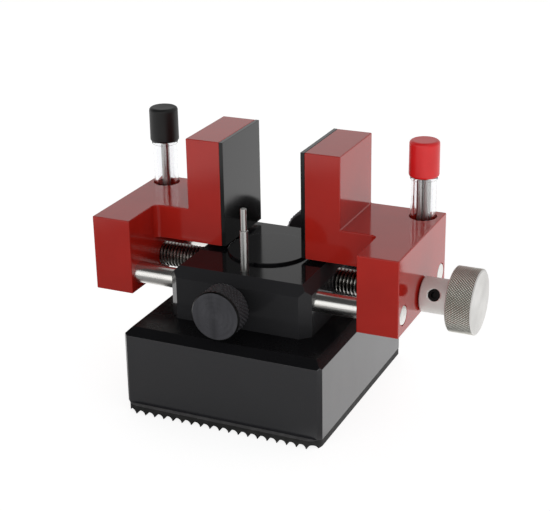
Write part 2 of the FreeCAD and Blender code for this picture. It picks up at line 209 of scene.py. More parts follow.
def edge_wear(tree, width):
    """How far a place is a worn edge, from 0 to 1. width is in metres."""
    soft = tree.nodes.new("ShaderNodeBevel")
    soft.samples = 4
    soft.inputs["Radius"].default_value = width
    geometry = tree.nodes.new("ShaderNodeNewGeometry")
    turn = vector_value(tree, "DOT_PRODUCT", soft.outputs["Normal"], geometry.outputs["Normal"])
    return spread(tree, turn, start=0.99, end=0.85)


# A wave texture of scale 1 runs through this angle in a metre, in radians.
WAVE_ANGLE = 20


def axis_rings(tree, place, direction, spacing):
    """Fine turning rings about a line through the screw's axis, from 0 to 1. spacing is in metres."""
    wave = tree.nodes.new("ShaderNodeTexWave")
    wave.wave_type = "RINGS"
    wave.rings_direction = direction
    wave.inputs["Scale"].default_value = TAU / (WAVE_ANGLE * spacing)
    wave.inputs["Distortion"].default_value = 0.6
    wave.inputs["Detail"].default_value = 2.0
    wave.inputs["Detail Scale"].default_value = 3.0
    tree.links.new(mapped(tree, place, offset=-axis_place * MM), wave.inputs["Vector"])
    return wave.outputs["Fac"]


# Materials

def darker(colour, share):
    """A share of a colour's light."""
    return tuple(channel * share for channel in colour)


def anodised(name, base, worn, roughness, grain, specular_ior):
    """Anodised aluminium: a dyed skin with a fine blasted grain, faint smudges and paler edges."""
    material, tree, shader, place = new_material(name)
    set_shader(shader, Metallic=0.0, IOR=specular_ior)
    mottle = spread(tree, noise(tree, place, scale=45.0, detail=4.0), start=0.3, end=0.7)
    skin = blended(tree, mottle, darker(base, 0.86), base)
    colour = blended(tree, edge_wear(tree, width=0.0003), skin, worn)
    tree.links.new(colour, shader.inputs["Base Color"])
    smeared = mapped(tree, place, scale=(1.0, 1.6, 0.7))
    smudge = noise(tree, smeared, scale=70.0, detail=5.0, roughness=0.6)
    rough = spread(tree, smudge, 0.25, 0.75, roughness * 0.8, roughness * 1.25)
    tree.links.new(rough, shader.inputs["Roughness"])
    fine = noise(tree, place, scale=2600.0, detail=2.0)
    bumped(tree, shader, fine, strength=grain, distance=0.00004)
    return material


def steel(name, base, roughness, mark_scale, marks, stretch=(1.0, 1.0, 1.0)):
    """Bare steel with machining marks that run across the stretched direction."""
    material, tree, shader, place = new_material(name)
    set_shader(shader, Metallic=1.0)
    lines = noise(tree, mapped(tree, place, scale=stretch), mark_scale, detail=3.0, roughness=0.6)
    clouds = spread(tree, noise(tree, place, scale=120.0, detail=4.0), start=0.3, end=0.75)
    tree.links.new(blended(tree, clouds, base, darker(base, 0.82)), shader.inputs["Base Color"])
    rough = spread(tree, lines, 0.25, 0.75, roughness * 0.7, roughness * 1.35)
    tree.links.new(rough, shader.inputs["Roughness"])
    bumped(tree, shader, lines, strength=marks, distance=0.00002)
    return material


def turned_metal(name, base, metallic, roughness, direction, spacing, streak=(1, 1, 1), fade=0.86):
    """Metal turned on a lathe, with rings about an axis that spread its highlights into a fan.

    Its colour fades in streaks: streak scales the coordinates that their noise is made from. Mild, round
    streaks are random tone; strong, stretched ones are painted sheen, bands that stand in for reflected
    highlights.
    """
    material, tree, shader, place = new_material(name)
    set_shader(shader, Metallic=metallic, Anisotropic=0.6)
    tangent = tree.nodes.new("ShaderNodeTangent")
    tangent.direction_type = "RADIAL"
    tangent.axis = direction
    tree.links.new(tangent.outputs[0], shader.inputs["Tangent"])
    streaks = noise(tree, mapped(tree, place, scale=streak), scale=140.0, detail=3.0)
    amount = spread(tree, streaks, start=0.3, end=0.75)
    tree.links.new(blended(tree, amount, base, darker(base, fade)), shader.inputs["Base Color"])
    rings = axis_rings(tree, place, direction, spacing)
    rough = spread(tree, rings, 0.0, 1.0, roughness * 0.85, roughness * 1.2)
    tree.links.new(rough, shader.inputs["Roughness"])
    bumped(tree, shader, rings, strength=0.2, distance=0.00002)
    return material


def groove_shaded_metal(name, across, root, crest, groove_shade_colour, crest_colour, metallic, roughness):
    """Metal whose colour runs from dark in its grooves to bright on its crests: the dark grooves are
    painted shade.

    across is 1 along the two axes that the radius is measured in. root and crest are radii in metres.
    """
    material, tree, shader, place = new_material(name)
    set_shader(shader, Metallic=metallic)
    offset = mapped(tree, place, scale=across, offset=-axis_place * MM)
    radius = vector_value(tree, "DISTANCE", offset, (0, 0, 0))
    # The share from root to crest darkens the colour towards the root: painted shade in the grooves.
    height = spread(tree, radius, start=root, end=crest)
    clouds = spread(tree, noise(tree, place, scale=400.0, detail=4.0), 0.3, 0.7, 0.75, 1.0)
    shade = calculated(tree, "MULTIPLY", height, clouds)
    tree.links.new(blended(tree, shade, groove_shade_colour, crest_colour), shader.inputs["Base Color"])
    lines = noise(tree, place, scale=900.0, detail=3.0)
    rough = spread(tree, lines, 0.25, 0.75, roughness * 0.8, roughness * 1.3)
    tree.links.new(rough, shader.inputs["Roughness"])
    bumped(tree, shader, lines, strength=0.12, distance=0.00002)
    return material


def moulded_plastic(name, base, roughness, specular_ior, cloud_scale, grain, coat=0.0):
    """Moulded plastic with faint flow clouds and a soft grain."""
    material, tree, shader, place = new_material(name)
    set_shader(shader, IOR=specular_ior, Coat_Weight=coat, Coat_Roughness=0.08)
    clouds = noise(tree, place, cloud_scale, detail=3.0)
    amount = spread(tree, clouds, start=0.3, end=0.7)
    tree.links.new(blended(tree, amount, darker(base, 0.85), base), shader.inputs["Base Color"])
    rough = spread(tree, clouds, 0.25, 0.75, roughness * 0.85, roughness * 1.2)
    tree.links.new(rough, shader.inputs["Roughness"])
    fine = noise(tree, place, scale=1500.0, detail=2.0)
    bumped(tree, shader, fine, strength=grain, distance=0.00003)
    return material


def drawn_plastic(name):
    """The vials' clear plastic, with faint drawing lines along the tube."""
    material, tree, shader, place = new_material(name)
    set_shader(shader, Transmission_Weight=1.0, IOR=1.46)
    stretched = mapped(tree, place, scale=(1.0, 1.0, 0.06))
    lines = noise(tree, stretched, scale=700.0, detail=2.0)
    amount = spread(tree, lines, start=0.3, end=0.7)
    tint = blended(tree, amount, (0.94, 0.95, 0.96), (0.98, 0.98, 0.99))
    tree.links.new(tint, shader.inputs["Base Color"])
    rough = spread(tree, lines, 0.3, 0.7, 0.01, 0.05)
    tree.links.new(rough, shader.inputs["Roughness"])
    return material


def dusty_rubber_with_top_light(name):
    """Black moulded rubber with a dusty, pitted skin. Faces that look up, such as its ledge, are painted
    far lighter: partly dust, mostly painted light from above.
    """
    material, tree, shader, place = new_material(name)
    set_shader(shader, IOR=1.38)
    dust = noise(tree, place, scale=260.0, detail=5.0, roughness=0.65)
    amount = spread(tree, dust, start=0.45, end=0.75)
    skin = blended(tree, amount, (0.014, 0.014, 0.014), (0.036, 0.035, 0.034))
    # The colour for faces that look up: painted light from above with some dust, far lighter than the skin.
    dust_and_top_light = blended(tree, amount, (0.13, 0.127, 0.13), (0.19, 0.186, 0.19))
    geometry = tree.nodes.new("ShaderNodeNewGeometry")
    upwards = vector_value(tree, "DOT_PRODUCT", geometry.outputs["Normal"], Z_AXIS)
    top_light_and_dust_share = spread(tree, upwards, start=0.4, end=0.9)
    # Faces that look up take the lighter colour: painted light from above.
    tree.links.new(blended(tree, top_light_and_dust_share, skin, dust_and_top_light), shader.inputs["Base Color"])
    rough = spread(tree, dust, 0.3, 0.7, 0.55, 0.8)
    tree.links.new(rough, shader.inputs["Roughness"])
    pits = noise(tree, place, scale=1800.0, detail=4.0, roughness=0.6)
    bumped(tree, shader, pits, strength=0.5, distance=0.00008)
    return material


# Finishes

black_anodised = anodised(
    "black_anodised", base=(0.010, 0.010, 0.013), worn=(0.03, 0.03, 0.033),
    roughness=0.2, grain=0.08, specular_ior=1.88)
black_polished = anodised(
    "black_polished", base=(0.027, 0.027, 0.029), worn=(0.035, 0.035, 0.037),
    roughness=0.12, grain=0.03, specular_ior=1.24)
black_mirror = anodised(
    "black_mirror", base=(0.005, 0.005, 0.006), worn=(0.03, 0.03, 0.032),
    roughness=0.13, grain=0.03, specular_ior=1.26)
black_satin = anodised(
    "black_satin", base=(0.008, 0.008, 0.009), worn=(0.03, 0.03, 0.032),
    roughness=0.25, grain=0.06, specular_ior=1.22)
black_knurled = anodised(
    "black_knurled", base=(0.03, 0.03, 0.033), worn=(0.07, 0.07, 0.075),
    roughness=0.35, grain=0.15, specular_ior=1.5)
red_anodised = anodised(
    "red_anodised", base=(0.46, 0.018, 0.011), worn=(0.55, 0.05, 0.035),
    roughness=0.1, grain=0.03, specular_ior=1.46)

rod_steel = steel(
    "rod_steel", base=(0.78, 0.77, 0.74), roughness=0.24,
    mark_scale=500.0, marks=0.06, stretch=(0.05, 1.0, 1.0))
pin_steel = steel(
    "pin_steel", base=(0.49, 0.49, 0.475), roughness=0.3,
    mark_scale=900.0, marks=0.06, stretch=(1.0, 1.0, 0.05))
screw_steel = steel(
    "screw_steel", base=(0.32, 0.32, 0.33), roughness=0.35, mark_scale=700.0, marks=0.2)
black_oxide = steel(
    "black_oxide", base=(0.014, 0.014, 0.014), roughness=0.4, mark_scale=900.0, marks=0.2)

knob_steel = turned_metal(
    "knob_steel", base=(0.68, 0.67, 0.65), metallic=0.9, roughness=0.42,
    direction="X", spacing=0.000754)
hub_steel = turned_metal(
    "hub_steel", base=(0.87, 0.87, 0.84), metallic=0.6, roughness=0.5,
    direction="X", spacing=0.0012566)
# The clamp knobs' face: its strong, stretched streaks are painted sheen, light and dark bands that stand in
# for the fan of reflected highlights.
turned_black = turned_metal(
    "turned_black", base=(0.09, 0.09, 0.1), metallic=0.7, roughness=0.35,
    direction="Y", spacing=0.001885, streak=(2.2, 1.0, 0.3), fade=0.62)

thread_steel = groove_shaded_metal(
    "thread_steel", across=(0, 1, 1), root=0.0041, crest=0.0048,
    groove_shade_colour=(0.03, 0.028, 0.025), crest_colour=(0.55, 0.54, 0.51), metallic=1.0, roughness=0.26)
knurl_steel = groove_shaded_metal(
    "knurl_steel", across=(0, 1, 1), root=0.0124, crest=0.01265,
    groove_shade_colour=(0.19, 0.185, 0.15), crest_colour=(0.93, 0.92, 0.87), metallic=1.0, roughness=0.33)
knurl_black = groove_shaded_metal(
    "knurl_black", across=(1, 0, 1), root=0.0093, crest=0.0098,
    groove_shade_colour=(0.002, 0.002, 0.003), crest_colour=(0.026, 0.025, 0.031), metallic=0.0, roughness=0.6)

pad_plastic = moulded_plastic(
    "pad_plastic", base=(0.005, 0.005, 0.005), roughness=0.14, specular_ior=1.42,
    cloud_scale=60.0, grain=0.04)
black_cap_plastic = moulded_plastic(
    "black_cap_plastic", base=(0.004, 0.004, 0.004), roughness=0.5, specular_ior=1.42,
    cloud_scale=80.0, grain=0.12)
red_cap_plastic = moulded_plastic(
    "red_cap_plastic", base=(0.8, 0.016, 0.018), roughness=0.33, specular_ior=1.45,
    cloud_scale=80.0, grain=0.1, coat=0.05)
clear_plastic = drawn_plastic("clear_plastic")
black_rubber = dusty_rubber_with_top_light("black_rubber")


# Mesh tools

# Two faces that meet at more than this angle in degrees have a sharp edge between them.
SHARP_ANGLE = 32
THREAD_SHARP_ANGLE = 28
FILLET_SHARP_ANGLE = 50

# Steps round a turned piece
SEGMENTS = 96
DISC_SEGMENTS = 160
SLIM_SEGMENTS = 48

# Steps along each rounding of a turned outline, and how far past it the outline gets its next point
ARC_STEPS = 4
FLAT_MARGIN = 0.02

# A point of a turned outline that is nearer to the axis than this lies on it.
ON_AXIS = 1e-6

# The number of a knob's second material, which its knurl takes
KNURL_MATERIAL = 1


def new_piece(name, mesh, material, body, node):
    """An object from a mesh in metres, with its material, its body and the node it stands for."""
    piece = bpy.data.objects.new(name, mesh)
    bpy.context.scene.collection.objects.link(piece)
    mesh.materials.append(material)
    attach(piece, body)
    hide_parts(node)
    return piece


def smooth_by_angle(mesh, angle):
    """Smooth shading with sharp edges where two faces meet at more than an angle in degrees."""
    mesh.shade_smooth()
    mesh.set_sharp_from_angle(angle=math.radians(angle))


def rounded(outline):
    """An outline of (radius, height, fillet) points with each fillet turned into an arc.

    A point just before and just after each arc keeps the straight stretches beside it flat in the
    shading. The first and the last point have no fillet.
    """
    points = []
    for i, (radius, height, fillet) in enumerate(outline):
        corner = Vector((radius, height))
        if fillet == 0:
            points.append(corner)
            continue
        before = (Vector(outline[i - 1][:2]) - corner).normalized()
        after = (Vector(outline[i + 1][:2]) - corner).normalized()
        half = math.acos(before.dot(after)) / 2
        reach = fillet / math.tan(half)
        centre = corner + (before + after).normalized() * (fillet / math.sin(half))
        start = (corner + before * reach - centre).normalized()
        end = (corner + after * reach - centre).normalized()
        points.append(corner + before * (reach + FLAT_MARGIN))
        for k in range(ARC_STEPS + 1):
            points.append(centre + start.slerp(end, k / ARC_STEPS) * fillet)
        points.append(corner + after * (reach + FLAT_MARGIN))
    return points


def axis_matrix(origin, direction):
    """Millimetres along Z turned to a direction at an origin, in metres."""
    turn = direction.to_track_quat("Z", "Y").to_matrix().to_4x4()
    return Matrix.Translation(Vector(origin) * MM) @ turn @ Matrix.Scale(MM, 4)


def ring_points(radius, height, segments):
    """Places round a circle."""
    return [
        (radius * math.cos(TAU * j / segments), radius * math.sin(TAU * j / segments), height)
        for j in range(segments)
    ]


def recalculate_normals(mesh):
    """Turn every face of a closed mesh outwards."""
    work = bmesh.new()
    work.from_mesh(mesh)
    bmesh.ops.recalc_face_normals(work, faces=work.faces)
    work.to_mesh(mesh)
    work.free()


def closed_mesh(name, vertices, faces, matrix, sharp_angle):
    """A closed mesh from places that a matrix turns into metres."""
    mesh = bpy.data.meshes.new(name)
    mesh.from_pydata(vertices, [], faces)
    mesh.validate()
    mesh.transform(matrix)
    recalculate_normals(mesh)
    smooth_by_angle(mesh, sharp_angle)
    return mesh


def lathe_rings(points, segments, dents):
    """The vertices of a turned mesh, and the numbers of the vertices in each of its rings."""
    vertices = []
    rings = []
    for i, point in enumerate(points):
        if point.x < ON_AXIS:
            circle = [(0, 0, point.y)]
        else:
            circle = ring_points(point.x, point.y, segments)
        if i in dents:
            depth, first = dents[i]
            scale = 1 - depth / point.x
            circle[first::2] = [(x * scale, y * scale, z) for x, y, z in circle[first::2]]
        rings.append(range(len(vertices), len(vertices) + len(circle)))
        vertices += circle
    return vertices, rings


def ring_faces(lower, upper, segments, first):
    """The faces between two rings.

    first is None between smooth rings. Between knurled rings it is the place that the lower ring's
    dents start at, and each four corners make two triangles that meet along the valley between dents.
    """
    faces = []
    for j in range(segments):
        k = (j + 1) % segments
        if len(lower) == 1:
            faces.append((lower[0], upper[k], upper[j]))
        elif len(upper) == 1:
            faces.append((lower[j], lower[k], upper[0]))
        elif first is None:
            faces.append((lower[j], lower[k], upper[k], upper[j]))
        elif j % 2 == first:
            faces += [(lower[j], lower[k], upper[k]), (lower[j], upper[k], upper[j])]
        else:
            faces += [(lower[j], lower[k], upper[j]), (lower[k], upper[k], upper[j])]
    return faces


def lathe_mesh(name, points, segments, matrix, dents=None):
    """A turned mesh from (radius, height) points that start and end on the axis.

    dents maps a point's number to how far every second place round it lies below the radius, and to
    the place that the dents start at, 0 or 1. The faces between dented rings are a flat-faced knurl.
    """
    dents = dents or {}
    vertices, rings = lathe_rings(points, segments, dents)
    faces = []
    dented = []
    for i in range(len(rings) - 1):
        both = i in dents and i + 1 in dents
        band = ring_faces(rings[i], rings[i + 1], segments, dents[i][1] if both else None)
        faces += band
        dented += [both] * len(band)
    mesh = closed_mesh(name, vertices, faces, matrix, SHARP_ANGLE)
    for polygon, is_dented in zip(mesh.polygons, dented):
        if is_dented:
            polygon.use_smooth = False
            polygon.material_index = KNURL_MATERIAL
    return mesh


def turned_piece(name, outline, origin, direction, material, body, node, segments=SEGMENTS):
    """A turned piece from an outline of (radius, height, fillet) points in millimetres."""
    mesh = lathe_mesh(name, rounded(outline), segments, axis_matrix(origin, direction))
    return new_piece(name, mesh, material, body, node)


def welded_copy(node):
    """A copy of a CAD node's mesh with its doubled corners joined and no material."""
    mesh = nodes[node].data.copy()
    mesh.materials.clear()
    work = bmesh.new()
    work.from_mesh(mesh)
    bmesh.ops.remove_doubles(work, verts=work.verts, dist=1e-7)
    bmesh.ops.dissolve_limit(
        work, angle_limit=math.radians(0.5), use_dissolve_boundaries=False,
        verts=work.verts, edges=work.edges)
    work.to_mesh(mesh)
    work.free()
    if "custom_normal" in mesh.attributes:
        mesh.attributes.remove(mesh.attributes["custom_normal"])
    return mesh


def bevelled_piece(name, node, width, material, body):
    """A CAD node's shape with every sharp edge softly broken."""
    mesh = welded_copy(node)
    smooth_by_angle(mesh, SHARP_ANGLE)
    piece = new_piece(name, mesh, material, body, node)
    bevel = piece.modifiers.new("broken edges", "BEVEL")
    bevel.width = width * MM
    bevel.segments = 3
    bevel.limit_method = "ANGLE"
    bevel.angle_limit = math.radians(SHARP_ANGLE)
    bevel.harden_normals = True
    return piece


def smooth_piece(name, node, material, body):
    """A CAD node's shape with true flat faces and smooth fillets."""
    mesh = welded_copy(node)
    smooth_by_angle(mesh, FILLET_SHARP_ANGLE)
    piece = new_piece(name, mesh, material, body, node)
    weighted = piece.modifiers.new("flat faces", "WEIGHTED_NORMAL")
    weighted.mode = "FACE_AREA"
    weighted.weight = 100
    weighted.keep_sharp = True
    return piece


def cut(piece, tool_mesh):
    """Cut the shape of a tool out of a piece for good."""
    tool = bpy.data.objects.new("cutting_tool", tool_mesh)
    bpy.context.scene.collection.objects.link(tool)
    boolean = piece.modifiers.new("cut", "BOOLEAN")
    boolean.operation = "DIFFERENCE"
    boolean.object = tool
    boolean.solver = "EXACT"
    bpy.context.view_layer.update()
    graph = bpy.context.evaluated_depsgraph_get()
    result = bpy.data.meshes.new_from_object(piece.evaluated_get(graph), depsgraph=graph)
    piece.modifiers.clear()
    piece.data = result
    bpy.data.objects.remove(tool)


def paint_faces(piece, material, test):
    """Another material on the faces of a piece that pass a test."""
    mesh = piece.data
    number = len(mesh.materials)
    mesh.materials.append(material)
    for polygon in mesh.polygons:
        if test(polygon):
            polygon.material_index = number


def keep_node(node, material):
    """Leave a CAD node as it is and give it a better material."""
    mesh = nodes[node].data
    mesh.materials.clear()
    mesh.materials.append(material)


# Base, centre block and foot

BLOCK_EDGE = 0.15
DISC_EDGE = 0.25

# A face whose normal rises more than this looks up, or is level.
LOOKS_UP = 0.3
IS_LEVEL = 0.9


def build_blocks():
    """The foot, both blocks, the round cover and the hidden screws."""
    keep_node("rubber_foot", black_rubber)
    base = bevelled_piece(
        "base_block_body", "base_block", BLOCK_EDGE, black_anodised, "base")
    paint_faces(base, black_satin, lambda polygon: polygon.normal.z > LOOKS_UP)
    block = bevelled_piece(
        "centre_block_body", "centre_block", BLOCK_EDGE, black_polished, "base")
    paint_faces(block, black_mirror, lambda polygon: polygon.normal.z > IS_LEVEL)
    radius = high("centre_disc").x
    height = size("centre_disc").z
    outline = [(0, 0, 0), (radius, 0, 0), (radius, height, DISC_EDGE), (0, height, 0)]
    turned_piece(
        "centre_disc_cover", outline, foot("centre_disc"), Z_AXIS, black_mirror,
        "base", "centre_disc", segments=DISC_SEGMENTS)
    for node in ("base_screws", "screw_fork", "rod_grub_screws"):
        keep_node(node, screw_steel)


# Guide rods

ROD_CHAMFER = 0.5
ROD_EDGE = 0.15
ROD_END_EDGE = 0.1


def build_rods():
    """Four ground guide rods with chamfered ends."""
    for row in ("front", "rear"):
        for side, direction in (("left", -X_AXIS), ("right", X_AXIS)):
            node = row + "_" + side + "_guide_rod"
            radius = size(node).z / 2
            length = size(node).x
            outline = [
                (0, 0, 0), (radius - ROD_CHAMFER, 0, 0), (radius, ROD_CHAMFER, ROD_EDGE),
                (radius, length - ROD_CHAMFER, ROD_EDGE), (radius - ROD_CHAMFER, length, ROD_END_EDGE),
                (0, length, 0),
            ]
            turned_piece(
                node + "_bar", outline, middle(node) - direction * length / 2, direction,
                rod_steel, "base", node)


# Threads

THREAD_PITCH = 1.5
THREAD_RADIUS = 4.95
THREAD_ROOT = 4.05
THREAD_END_RADIUS = 3.9
THREAD_SEGMENTS = 48

STUD_PITCH = 1.0
STUD_RADIUS = 3.0
STUD_ROOT = 2.45
STUD_END_RADIUS = 2.3
STUD_SEGMENTS = 40

# One turn of a thread, as (share of the pitch, radius) points
THREAD_FORM = [(0.0, THREAD_ROOT), (0.1, THREAD_ROOT), (0.48, THREAD_RADIUS), (0.62, THREAD_RADIUS)]
STUD_FORM = [(0.0, STUD_ROOT), (0.12, STUD_ROOT), (0.5, STUD_RADIUS), (0.62, STUD_RADIUS)]

# The least plain length at each end of a thread
THREAD_MARGIN = 0.4


def helix_vertices(length, pitch, form, turns, hand, segments):
    """The places of a helix's rows. Each row climbs by the pitch on its way round."""
    start = (length - turns * pitch - pitch) / 2
    vertices = []
    for i in range(len(form) * turns + 1):
        turn = i // len(form)
        share, radius = form[i % len(form)]
        for j, (x, y, z) in enumerate(ring_points(radius, start, segments)):
            vertices.append((x, hand * y, z + pitch * (turn + share + j / segments)))
    return vertices


def helix_faces(rows, per_turn):
    """The faces between a helix's rows, and those from each turn to the next at the seam."""
    faces = []
    for lower, upper in zip(rows, rows[1:]):
        for j in range(len(lower) - 1):
            faces.append((lower[j], lower[j + 1], upper[j + 1], upper[j]))
    for i in range(len(rows) - 1 - per_turn):
        faces.append((rows[i][-1], rows[i + per_turn][0], rows[i + per_turn + 1][0], rows[i + 1][-1]))
    return faces


def end_faces(rows, start, end, per_turn):
    """The faces from a helix's first row to the start circle, and from its last row to the end circle."""
    first = rows[0]
    last = rows[-1]
    faces = []
    for j in range(len(first) - 1):
        faces.append((start[j], start[j + 1], first[j + 1], first[j]))
        faces.append((last[j], last[j + 1], end[j + 1], end[j]))
    for k in range(per_turn):
        faces.append((start[0], rows[k + 1][0], rows[k][0]))
        faces.append((end[-1], rows[-1 - k][-1], rows[-2 - k][-1]))
    faces.append((start[-1], start[0], first[-1]))
    faces.append((start[0], rows[per_turn][0], first[-1]))
    faces.append((end[-1], rows[-1 - per_turn][-1], last[0]))
    faces.append((end[-1], last[0], end[0]))
    return faces


def cap_faces(start, end, start_middle, end_middle):
    """The flat ends inside the start and the end circle."""
    faces = []
    for j in range(len(start)):
        k = (j + 1) % len(start)
        faces.append((start_middle, start[k], start[j]))
        faces.append((end_middle, end[j], end[k]))
    return faces


def thread_mesh(name, length, pitch, form, end_radius, hand, matrix, segments):
    """A threaded bar along Z with a real helix and closed ends. hand is 1 for a right-hand thread."""
    turns = int((length - 2 * THREAD_MARGIN) / pitch) - 1
    vertices = helix_vertices(length, pitch, form, turns, hand, segments)
    for height in (0.0, length):
        vertices += [(x, hand * y, z) for x, y, z in ring_points(end_radius, height, segments)]
    *rows, start, end = [range(i, i + segments) for i in range(0, len(vertices), segments)]
    faces = helix_faces(rows, len(form)) + end_faces(rows, start, end, len(form))
    faces += cap_faces(start, end, len(vertices), len(vertices) + 1)
    vertices += [(0, 0, 0.0), (0, 0, length)]
    return closed_mesh(name, vertices, faces, matrix, THREAD_SHARP_ANGLE)


# Lead screw

# Half the length of the plain middle between the two threads
PLAIN_HALF = 20.0
NECK_RADIUS = 3.5
NECK_CLEARANCE = 0.05
SHANK_RADIUS = 3.5
SHANK_EDGE = 0.4


def build_lead_screw():
    """A right-hand thread on the left, a left-hand thread on the right, and a neck between them."""
    for side, start, end, hand in (
            ("left", low("lead_screw").x, -PLAIN_HALF, 1), ("right", PLAIN_HALF, hub_start, -1)):
        name = "lead_screw_" + side + "_thread"
        matrix = axis_matrix((start, 0, axis_z), X_AXIS)
        mesh = thread_mesh(
            name, end - start, THREAD_PITCH, THREAD_FORM, THREAD_END_RADIUS, hand, matrix, THREAD_SEGMENTS)
        new_piece(name, mesh, thread_steel, "spindle", "lead_screw")
    neck_start = PLAIN_HALF + low("screw_fork").x - NECK_CLEARANCE
    neck_end = PLAIN_HALF + high("screw_fork").x + NECK_CLEARANCE
    outline = [
        (0, 0, 0), (THREAD_RADIUS, 0, 0), (THREAD_RADIUS, neck_start, 0), (NECK_RADIUS, neck_start, 0),
        (NECK_RADIUS, neck_end, 0), (THREAD_RADIUS, neck_end, 0), (THREAD_RADIUS, 2 * PLAIN_HALF, 0),
        (0, 2 * PLAIN_HALF, 0),
    ]
    turned_piece(
        "lead_screw_middle", outline, (-PLAIN_HALF, 0, axis_z), X_AXIS, thread_steel,
        "spindle", "lead_screw")
    length = high("lead_screw").x - hub_start
    outline = [(0, 0, 0), (SHANK_RADIUS, 0, 0), (SHANK_RADIUS, length, SHANK_EDGE), (0, length, 0)]
    turned_piece(
        "lead_screw_shank", outline, (hub_start, 0, axis_z), X_AXIS, thread_steel,
        "spindle", "lead_screw")


# Knurled knobs

# shoulder and face are (depth below the knurl, distance past the neck or from the face, fillet)
# points. knurl_from_neck and knurl_from_face say where the band of pyramids starts and ends.
HAND_KNOB = {
    "shoulder": [(0.6, 0.0, 0.2), (0.25, 0.3, 0)],
    "face": [(0.3, 0.35, 0), (0.8, 0.0, 0.3)],
    "knurl_from_neck": 0.4,
    "knurl_from_face": 0.45,
    "knurl_depth": 0.32,
    "rows": 16,
    "around": 80,
}
CLAMP_KNOB = {
    "shoulder": [(1.0, 0.0, 0.2), (0.45, 0.6, 0)],
    "face": [(0.3, 1.0, 0), (0.05, 0.85, 0.1), (0.05, 0.5, 0.1), (0.55, 0.0, 0.1)],
    "knurl_from_neck": 1.0,
    "knurl_from_face": 1.15,
    "knurl_depth": 0.38,
    "rows": 7,
    "around": 36,
}

# Fillets of the knobs' bores and of a clamp knob's neck
BORE_EDGE = 0.2
NECK_EDGE = 0.3
NECK_CORNER = 0.2

HUB_RADIUS = 6.85
HUB_LENGTH = 11.9
HUB_EDGE = 0.55
HUB_CORNER = 0.3
HUB_BORE_DEPTH = 15.0
HUB_RINGS = 10
HOLE_RADIUS = 2.4
HOLE_CHAMFER = 0.1
HOLE_FLARE = 0.7
HOLE_FROM_JAW = 6.4
HOLE_ANGLE = 24.5

CLAMP_HEAD_LENGTH = 9.8
CLAMP_NECK_RADIUS = 5.0
CLAMP_BORE_DEPTH = 8.0

# How far before the rim the hub's finish stops, and how far past a clamp knob's neck its finish runs
HUB_FINISH_GAP = 0.05
NECK_FINISH_REACH = 0.3

# Where a clamp knob's painted shade, a black ring in the groove round its face, starts and ends, measured
# from its face
GROOVE_SHADE_START = 1.1
GROOVE_SHADE_END = 0.12


def knob_mesh(name, neck_outline, neck, length, radius, style, matrix):
    """A knob along Z: its neck, a shoulder, a band of pyramids between crossing grooves and a face."""
    shoulder = [(radius - depth, neck + way, fillet) for depth, way, fillet in style["shoulder"]]
    face = [(radius - depth, length - way, fillet) for depth, way, fillet in style["face"]]
    before = rounded(neck_outline + shoulder)
    after = rounded(face + [(0, length, 0)])
    start = neck + style["knurl_from_neck"]
    end = length - style["knurl_from_face"]
    rows = style["rows"]
    band = [Vector((radius, start + (end - start) * i / rows)) for i in range(rows + 1)]
    dents = {len(before) + i: (style["knurl_depth"], i % 2) for i in range(rows + 1)}
    return lathe_mesh(name, before + band + after, 2 * style["around"], matrix, dents)


def hub_hole():
    """The tool that cuts the grub screw's hole with its chamfered mouth."""
    angle = math.radians(HOLE_ANGLE)
    way = Vector((0, -math.cos(angle), math.sin(angle)))
    place = Vector((jaw_back + HOLE_FROM_JAW, 0, axis_z))
    mouth = HUB_RADIUS - HOLE_CHAMFER
    outline = [
        (0, 0, 0), (HOLE_RADIUS, 0, 0), (HOLE_RADIUS, mouth, 0),
        (HOLE_RADIUS + HOLE_FLARE, mouth + HOLE_FLARE, 0), (0, mouth + HOLE_FLARE, 0),
    ]
    return lathe_mesh("hub_hole", rounded(outline), SLIM_SEGMENTS, axis_matrix(place, way))


def build_hand_knob():
    """The hub and the diamond-knurled rim, with the grub screw's hole.

    Extra rings along the hub keep the faces round the hole short.
    """
    hub = [
        (0, HUB_BORE_DEPTH, 0), (SHANK_RADIUS, HUB_BORE_DEPTH, 0), (SHANK_RADIUS, 0, BORE_EDGE),
        (HUB_RADIUS, 0, HUB_EDGE),
    ]
    hub += [(HUB_RADIUS, step, 0) for step in range(1, HUB_RINGS + 1)]
    hub.append((HUB_RADIUS, HUB_LENGTH, HUB_CORNER))
    mesh = knob_mesh(
        "hand_knob_body", hub, HUB_LENGTH, size("hand_knob").x, high("hand_knob").z - axis_z,
        HAND_KNOB, axis_matrix((hub_start, 0, axis_z), X_AXIS))
    knob = new_piece("hand_knob_body", mesh, knob_steel, "spindle", "hand_knob")
    mesh.materials.append(knurl_steel)
    cut(knob, hub_hole())
    hub_reach = (hub_start + HUB_LENGTH - HUB_FINISH_GAP) * MM
    paint_faces(knob, hub_steel, lambda polygon: polygon.center.x < hub_reach)
    keep_node("hub_screw", black_oxide)


